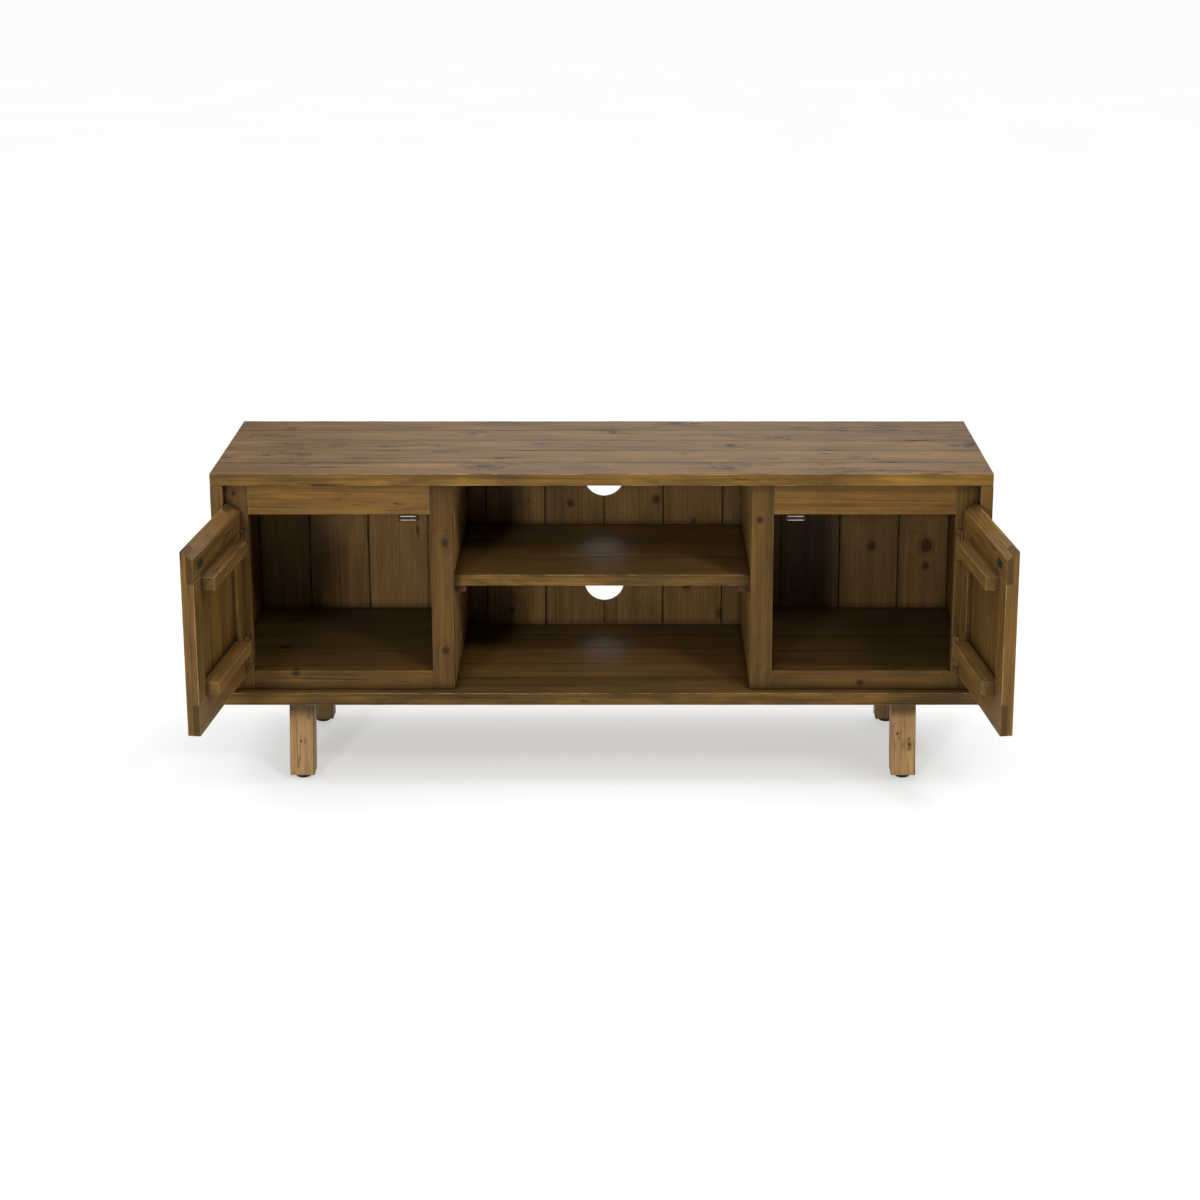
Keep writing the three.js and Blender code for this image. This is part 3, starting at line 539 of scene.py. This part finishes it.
# how light or dark the board of each node is, and the knots that stand out: node -> (along, across, radius) in metres
# from the middle of the board it lies on, chosen by a point inside the board
FRONT = {"top_board": 0.98, "base_board": 0.80, "shelf": 0.88}
TONE_AND_PAINTED_LIGHT = {
    "top_board": (0.84, 1.0, 0.92, 0.98, 0.86), "base_board": (0.80, 1.05, 1.1, 1.0, 1.0),
    "frame_rail_top_left": 1.32, "frame_rail_top_right": 1.16,
    # painted light and shade: the back boards of the left cupboard and the middle bay are made lighter and those of the
    # right cupboard darker, for the light that reaches each bay; in both cupboards they grow lighter towards the right,
    # away from the shade on their left parts
    "shelf": 1.05, "back_boards_left": (1.1, 1.25, 1.32), "back_boards_right": (0.66, 0.76, 0.84),
    "back_boards_mid_left": (1.0, 1.15, 1.12), "back_boards_mid_right": (1.12, 1.2, 1.05),
}
for _s in ("left", "right"):
    TONE_AND_PAINTED_LIGHT[f"side_panel_{_s}"] = 1.0
    TONE_AND_PAINTED_LIGHT[f"frame_stile_{_s}"] = 0.76
    TONE_AND_PAINTED_LIGHT[f"frame_post_{_s}"] = 0.62
    TONE_AND_PAINTED_LIGHT[f"frame_rail_bottom_{_s}"] = 0.62
    # painted shade: the cupboard floors and the back legs are made darker for the shade they stand in
    TONE_AND_PAINTED_LIGHT[f"cupboard_floor_{_s}"] = 0.50
    TONE_AND_PAINTED_LIGHT[f"leg_back_{_s}"] = 0.50
    TONE_AND_PAINTED_LIGHT[f"leg_front_{_s}"] = 1.0 if _s == "left" else 1.2
    # painted light: the dividers are made much lighter for light the lamps don't bring to their inner faces
    TONE_AND_PAINTED_LIGHT[f"divider_{_s}"] = 2.3 if _s == "left" else 1.9
KNOTS = {
    "top_board": ((-0.2557, 0.2866, 0.0050), (-0.1219, 0.1875, 0.0045), (-0.2234, 0.0002, 0.0075), (0.0178, 0.3021, 0.0055),
                  (0.1416, 0.3735, 0.0085), (0.2456, 0.1796, 0.0065), (0.3443, 0.2477, 0.0075), (0.2344, -0.0173, 0.0070),
                  (0.7080, 0.1787, 0.0090), (-0.5756, 0.0928, 0.0040), (-0.4938, 0.2227, 0.0045), (0.5229, 0.0343, 0.0045),
                  (-0.62, 0.33, 0.005), (0.56, 0.345, 0.006)),
    "back_boards_right": ((0.3571, 0.5455, 0.0062), (0.3571, 0.6575, 0.0092), (0.3140, 0.6568, 0.0052)),
    "back_boards_mid_left": ((0.4466, -0.0681, 0.0052), (0.22, -0.19, 0.004)),
    "back_boards_mid_right": ((0.4546, 0.1059, 0.0058), (0.4081, 0.1821, 0.0040), (0.2142, 0.2389, 0.0070)),
    "frame_post_left": ((0.4771, -0.2940, 0.0045), (0.2656, -0.2957, 0.0050)),
    "frame_post_right": ((0.5209, 0.2949, 0.0035),),
    "frame_rail_bottom_left": ((-0.5812, 0.2213, 0.0040),),
    "frame_rail_bottom_right": ((0.4893, 0.2014, 0.0040),),
    "leg_front_right": ((0.0850, 0.5668, 0.0020), (0.0640, 0.5904, 0.0025)),
    "leg_front_left": ((0.0700, -0.5811, 0.0018),),
}
_lo, _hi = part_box("frame_stile_left")
KNOTS["frame_stile_left"] = ((_hi.z - 0.020, (_lo.x + _hi.x) / 2 - 0.004, 0.0030),)


def dress(node, mat, grain, seams=(), across=None, gap=0.00012, bevel=0.00055, spacing=0.026, wear=0.00028, segments=2,
          tongue=False, front_mat=None, rounded=False):
    """Makes the visible board or boards of a CAD node, out of the CAD solid itself, and hides the CAD node."""
    to = closed_frame(node)
    back = to.inverted()
    g = AX[grain]
    rnd = random.Random(node)
    base = clean_bm(node)
    base.transform(to)
    lo = Vector(tuple(min(v.co[i] for v in base.verts) for i in range(3)))
    hi = Vector(tuple(max(v.co[i] for v in base.verts) for i in range(3)))
    mid, half = (lo + hi) / 2, (hi - lo) / 2
    if rounded:
        # a plain batten between the same two corners, so that its arrises can take a larger round
        base.free()
        base = bmesh.new()
        bmesh.ops.create_cube(base, size=1.0, matrix=Matrix.Translation(mid) @ Matrix.Diagonal((*(hi - lo), 1.0)))
    others = [i for i in range(3) if i != g]
    others.sort(key=lambda i: -(hi[i] - lo[i]))
    va = AX[across] if across else others[0]
    wa = [i for i in others if i != va][0]
    bounds = [lo[va]] + [s for s in seams] + [hi[va]]
    last = len(bounds) - 2
    out = bmesh.new()
    layers = {}
    for k in ("gc", "lc", "he", "ga", "sv", "kn0", "kn1", "kn2"):
        layers[k] = out.verts.layers.float_vector.new(k)
    for k in ("pid", "tn"):
        layers[k] = out.verts.layers.float.new(k)
    ga = Vector((0, 0, 0))
    ga[g] = 1.0
    ga = back.to_3x3() @ ga
    for k in range(len(bounds) - 1):
        bm = base.copy()
        if k > 0:
            slice_bm(bm, va, bounds[k] + gap, True)
        if k < last:
            slice_bm(bm, va, bounds[k + 1] - gap, False)
        bmesh.ops.recalc_face_normals(bm, faces=bm.faces[:])
        if bevel > 0.0007 and len(bounds) > 2:
            at = [bounds[k] + gap] * (k > 0) + [bounds[k + 1] - gap] * (k < last)

            def glued(e, at=at):
                return any(all(abs(v.co[va] - a) < 2e-5 for v in e.verts) for a in at)

            ease(bm, bevel, segments, only=lambda e: not glued(e))
            ease(bm, 0.0004, 1, only=glued)
        else:
            ease(bm, bevel, segments)
        bm.normal_update()
        if spacing:
            cuts_along(bm, g, spacing, rnd)
        wear_down(bm, rnd.uniform(0, 50), wear)
        for v in bm.verts:
            v.co = Vector(tuple(min(max(v.co[i], lo[i]), hi[i]) for i in range(3)))
        plo = Vector(tuple(min(v.co[i] for v in bm.verts) for i in range(3)))
        phi = Vector(tuple(max(v.co[i] for v in bm.verts) for i in range(3)))
        c = (plo + phi) / 2
        h = (phi - plo) / 2
        for edge_at in ([bounds[k + 1]] if tongue else []) + ([bounds[0]] if tongue and k == 0 else []):
            # the tongue that keeps the joint tight; it stops short of a cable hole
            spans = [(lo[g] + 0.0012, hi[g] - 0.0012)]
            if abs(edge_at) < 0.002:
                spans = [(lo[g] + 0.0012, 0.2395), (0.3215, 0.4600), (0.5420, hi[g] - 0.0012)]
            for g0, g1 in spans:
                tongue_box(bm, g, va, wa, g0, g1, edge_at, mid[wa])
        pid = rnd.random()
        # where in its log this board was sawn
        po = Vector((rnd.uniform(0, 40), rnd.uniform(-0.9, 0.9) * h[va] + rnd.choice((-1, 1)) * rnd.uniform(0.0, 0.03),
                     rnd.choice((-1, 1)) * (h[wa] + rnd.uniform(0.012, 0.075))))
        marks = [q for q in KNOTS.get(node, ()) if plo[va] <= q[1] <= phi[va]][:3]
        marks += [(9.0, 9.0, 0.005)] * (3 - len(marks))
        tn = TONE_AND_PAINTED_LIGHT.get(node, 1.0)
        if isinstance(tn, (list, tuple)):
            tn = tn[k % len(tn)]
        bm.normal_update()
        vmap = {}
        for v in bm.verts:
            nv = out.verts.new(back @ v.co)
            d = v.co - c
            o = v.co - mid
            nv[layers["gc"]] = Vector((d[g] + po.x, d[va] + po.y, d[wa] + po.z))
            nv[layers["lc"]] = o
            nv[layers["he"]] = half
            nv[layers["ga"]] = ga
            nv[layers["sv"]] = Vector((v.co[va] - bounds[k] + (9.0 if k == 0 else 0.0),
                                       bounds[k + 1] - v.co[va] + (9.0 if k == last else 0.0), 0.0))
            for i, q in enumerate(marks):
                nv[layers[f"kn{i}"]] = Vector((v.co[g] - q[0], v.co[va] - q[1], q[2]))
            nv[layers["pid"]] = pid
            nv[layers["tn"]] = FRONT[node] if node in FRONT and v.co.y < lo.y + 0.00025 + wear else tn
            vmap[v] = nv
        for f in bm.faces:
            try:
                nf = out.faces.new([vmap[v] for v in f.verts])
                nf.smooth = True
                if front_mat and f.normal.y < -0.62:
                    nf.material_index = 1
            except ValueError:
                pass
        bm.free()
    base.free()
    me = bpy.data.meshes.new(node + "_wood")
    out.to_mesh(me)
    out.free()
    me.materials.append(mat)
    if front_mat:
        me.materials.append(front_mat)
    me.set_sharp_from_angle(angle=math.radians(38))
    ob = bpy.data.objects.new(node + "_wood", me)
    scene.collection.objects.link(ob)
    wn = ob.modifiers.new("normals", "WEIGHTED_NORMAL")
    wn.keep_sharp = True
    wn.weight = 60
    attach(ob, BODY[node])
    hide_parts(node)
    PIECES[node] = ob
    return ob


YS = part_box("top_board")[0].y          # front edge of the boards
PITCH = 0.120


def seams_at(node, axis, values):
    lo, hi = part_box(node)
    return [s for s in values if lo[AX[axis]] + 0.004 < s < hi[AX[axis]] - 0.004]


TOP_SEAMS = [YS + s * MM for s in (94, 197, 286, 374)]
dress("top_board", TOP_WOOD, "X", TOP_SEAMS, "Y", wear=0.0005, front_mat=EDGE_WOOD, bevel=0.0013, segments=3)
dress("base_board", INNER_WOOD, "X", [YS + s * MM for s in (101, 188, 290, 379)], "Y", front_mat=EDGE_WOOD, bevel=0.0009)
for side in ("left", "right"):
    s = -1 if side == "left" else 1
    dress(f"side_panel_{side}", BODY_WOOD, "Z", [YS + v * MM for v in (92, 183, 281, 372)], "Y")
    dress(f"divider_{side}", INNER_WOOD, "Z", [YS + v * MM for v in (140, 241, 345)], "Y")
    dress(f"frame_stile_{side}", BODY_WOOD, "Z")
    dress(f"frame_post_{side}", BODY_WOOD, "Z")
    dress(f"frame_rail_top_{side}", BODY_WOOD, "X")
    dress(f"frame_rail_bottom_{side}", BODY_WOOD, "X")
    dress(f"cupboard_floor_{side}", INNER_WOOD, "X", [YS + v * MM for v in (148, 251, 352)], "Y", wear=0.0002)
    dress(f"shelf_cleat_{side}", INNER_WOOD, "Y")
    dress(f"leg_front_{side}", LEG_WOOD, "Z", wear=0.0008, bevel=0.0024, segments=3)
    dress(f"leg_back_{side}", LEG_WOOD, "Z", wear=0.0008, bevel=0.0024, segments=3)
    dress(f"leg_rail_{side}", LEG_WOOD, "Y")
    for piece, g in (("hinge_stile", "Z"), ("free_stile", "Z"), ("rail_top", "X"), ("rail_bottom", "X"),
                     ("batten_upper", "X"), ("batten_lower", "X")):
        batten = piece.startswith("batten")
        dress(f"door_{side}_{piece}", BATTEN_WOOD if batten else DOOR_WOOD, g, spacing=0.022, bevel=0.0042 if batten else 0.0007,
              segments=4 if batten else 2, wear=0.0004 if batten else 0.00028, rounded=batten)
    # door boards: three, joints between the stiles
    node = f"door_{side}_boards"
    co = [closed_frame(node) @ v.co for v in NODES[node].data.vertices]
    x0, x1 = min(c.x for c in co) + 0.008, max(c.x for c in co) - 0.008
    dress(node, DOOR_WOOD, "Z", [x0 + (x1 - x0) * k / 3 for k in (1, 2)], "X")
dress("shelf", INNER_WOOD, "X", [YS + v * MM for v in (196, 322)], "Y", front_mat=EDGE_WOOD, bevel=0.0010)
for node in ("back_boards_left", "back_boards_mid_left", "back_boards_mid_right", "back_boards_right"):
    dress(node, INNER_WOOD, "Z", seams_at(node, "X", [k * PITCH for k in range(-6, 7)]), "X", gap=0.00008, tongue=True, bevel=0.0004, wear=0.00014)


# --------------------------------------------------------------------------
# metal and plastic pieces
# --------------------------------------------------------------------------
def eased_copy(node, mats, bevel, pick=None, suffix="_part", least=0.0006):
    bm = clean_bm(node)
    ease(bm, bevel, 2, least)
    bm.normal_update()
    me = bpy.data.meshes.new(node + suffix)
    for f in bm.faces:
        f.smooth = True
        f.material_index = pick(f) if pick else 0
    bm.to_mesh(me)
    bm.free()
    for m in mats:
        me.materials.append(m)
    me.set_sharp_from_angle(angle=math.radians(38))
    ob = bpy.data.objects.new(node + suffix, me)
    scene.collection.objects.link(ob)
    wn = ob.modifiers.new("normals", "WEIGHTED_NORMAL")
    wn.keep_sharp = True
    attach(ob, BODY[node])
    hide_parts(node)
    return ob


for node in NODES:
    if node.startswith("hinge_"):
        eased_copy(node, [BRONZE], 0.00018)
    elif node.startswith("glide_"):
        eased_copy(node, [GLIDE], 0.0005)
    elif node.endswith("strike_plate"):
        eased_copy(node, [STEEL], 0.00025)
    elif node.startswith("catch_"):
        lo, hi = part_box(node)

        def plates(f, lo=lo, hi=hi):
            c = f.calc_center_median()
            return 1 if c.y < lo.y + 0.0005 else 0

        eased_copy(node, [CATCH, POLES], 0.0002, plates)


# --------------------------------------------------------------------------
# stage, light, camera
# --------------------------------------------------------------------------
def flat_grid(name, half, z, rise_from=None):
    bm = bmesh.new()
    bmesh.ops.create_grid(bm, x_segments=2, y_segments=2, size=half)
    me = bpy.data.meshes.new(name)
    bm.to_mesh(me)
    bm.free()
    ob = bpy.data.objects.new(name, me)
    ob.location = (0, 0, z)
    scene.collection.objects.link(ob)
    return ob


floor = flat_grid("floor", 120.0, -0.0002)
fm, ft, fb = material("floor_pale")
n1 = ft.noise(ft.add("ShaderNodeTexCoord").outputs["Object"], 1.3, 3.0, 0.5)
ft.put(fb.inputs["Base Color"], ft.mix(n1, (0.50, 0.50, 0.498), (0.53, 0.53, 0.526)))
fb.inputs["Emission Color"].default_value = (1.0, 1.0, 0.995, 1.0)
fb.inputs["Emission Strength"].default_value = 0.47
fb.inputs["Roughness"].default_value = 0.9
fb.inputs["Specular IOR Level"].default_value = 0.1
floor.data.materials.append(fm)
floor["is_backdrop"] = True

world = bpy.data.worlds.new("studio")
world.use_nodes = True
wt = Tree(world.node_tree)
bg = world.node_tree.nodes["Background"]
wz = wt.split(wt.vec("NORMALIZE", wt.add("ShaderNodeTexCoord").outputs["Generated"]))[2]
wt.put(bg.inputs[0], wt.ramp(wt.step(wz, 0.0, 1.0, smooth=False), [(0.0, 0.05), (0.35, 0.10), (0.7, 0.50), (1.0, 1.0)]))
bg.inputs[1].default_value = 1.9
scene.world = world


def area(name, loc, target, size, energy, colour=(1, 1, 1)):
    d = bpy.data.lights.new(name, "AREA")
    d.shape = "RECTANGLE"
    d.size, d.size_y = size
    d.energy = energy
    d.color = colour
    o = bpy.data.objects.new(name, d)
    o.location = loc
    o.rotation_mode = "QUATERNION"
    o.rotation_quaternion = (Vector(target) - Vector(loc)).to_track_quat("-Z", "Y")
    scene.collection.objects.link(o)
    return o


area("key_left", (-2.0, -6.4, 1.95), (0, 0, 0.30), (0.8, 0.8), 210.0)
area("key_right", (2.9, -4.6, 4.2), (0, 0, 0.30), (1.0, 1.0), 130.0)
area("overhead", (0.1, 0.1, 2.4), (0.05, 0.1, 0.3), (1.5, 1.1), 13.0)
area("behind", (0.25, 4.2, 2.35), (0.05, 0.2, 0.6), (2.2, 1.2), 10.0)

cam_data = bpy.data.cameras.new("camera")
cam_data.sensor_width = 36.0
cam_data.lens = 2612.36 / 1200 * 36.0
cam_data.shift_x = -0.024648
cam_data.clip_start, cam_data.clip_end = 0.1, 200.0
cam_data.dof.use_dof = False
cam = bpy.data.objects.new("camera", cam_data)
cam.location = (0.05166, YS - 4.69683, 1.73444)
cam.rotation_euler = (math.radians(90.0 - 16.169), 0.0, 0.0)
scene.collection.objects.link(cam)
scene.camera = cam

scene.view_settings.view_transform = "Standard"
scene.view_settings.look = "None"
scene.cycles.use_denoising = True
scene.cycles.max_bounces = 8
scene.cycles.diffuse_bounces = 5

lo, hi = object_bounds()
